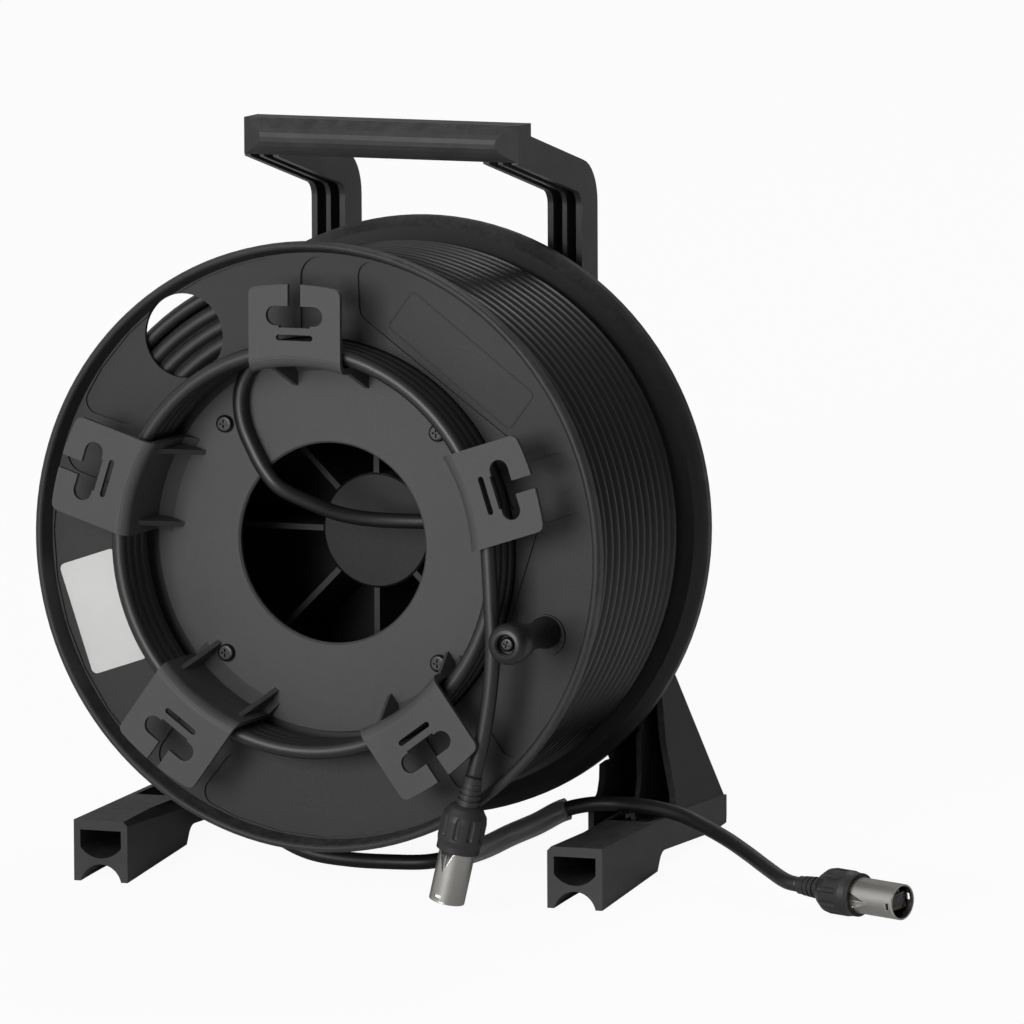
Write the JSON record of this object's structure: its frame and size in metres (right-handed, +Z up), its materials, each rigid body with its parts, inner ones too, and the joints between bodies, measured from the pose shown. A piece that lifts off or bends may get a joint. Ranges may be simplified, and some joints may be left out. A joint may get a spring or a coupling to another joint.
{
  "type": "network cable reel",
  "caption": "Portable cable reel: leaning stand with a carrying grip, turning drum with clips for the tail, crank knob and a wound data cable with plugged ends.",
  "frame": {"origin": "middle of the footprint of the stand and drum, on the floor", "axes": "+Z up, the clips and the crank knob toward -Y, +X to the right as seen from the front"},
  "size_m": [0.4638, 0.2639, 0.3775],
  "materials": {
    "stand_plastic": "fine satin grain",
    "drum_plastic": "satin",
    "holder_plastic": "satin",
    "knob_plastic": "satin",
    "steel": "satin",
    "dark_steel": "black oxide",
    "nickel": "satin nickel",
    "bush": "plain",
    "cable": "matt",
    "boot": "matt",
    "clear": "clear",
    "clear_plug": "clear"
  },
  "bodies": {
    "stand": {"frame": "stand_plastic", "axle": "steel", "axle_washer": "steel", "axle_nut": "steel", "thrust_washer": "steel", "front_washer": "steel", "retaining_ring": "dark_steel", "payout_lead": "cable", "payout_sleeve": "clear", "payout_boot": "boot", "payout_bushing": "boot", "payout_shell": "nickel", "payout_insert": "clear_plug"},
    "drum": {"front_flange": "drum_plastic", "back_flange": "drum_plastic", "tail_holder": "holder_plastic", "drum_screws": "dark_steel", "hub_bush_front": "bush", "hub_bush_back": "bush", "hub_cap": "drum_plastic", "winding_core": "cable", "winding_outer": "cable", "hub_lead": "cable", "tail_coil": "cable", "tail_drop": "cable", "tail_boot": "boot", "tail_bushing": "boot", "tail_shell": "nickel", "tail_insert": "clear_plug", "knob_sleeve": "steel", "knob_screw": "steel"},
    "crank_knob": {"knob_grip": "knob_plastic"}
  },
  "joints": [
    {"name": "drum_spin", "type": "hinge", "parent": "stand", "child": "drum", "pos_m": [0, -0.0814, 0.1822], "axis": [0, 0.9917, -0.1288], "continuous": true},
    {"name": "knob_spin", "type": "hinge", "parent": "drum", "child": "crank_knob", "pos_m": [0.12275, -0.08629, 0.14452], "axis": [0, 0.9917, -0.1288], "continuous": true}
  ]
}
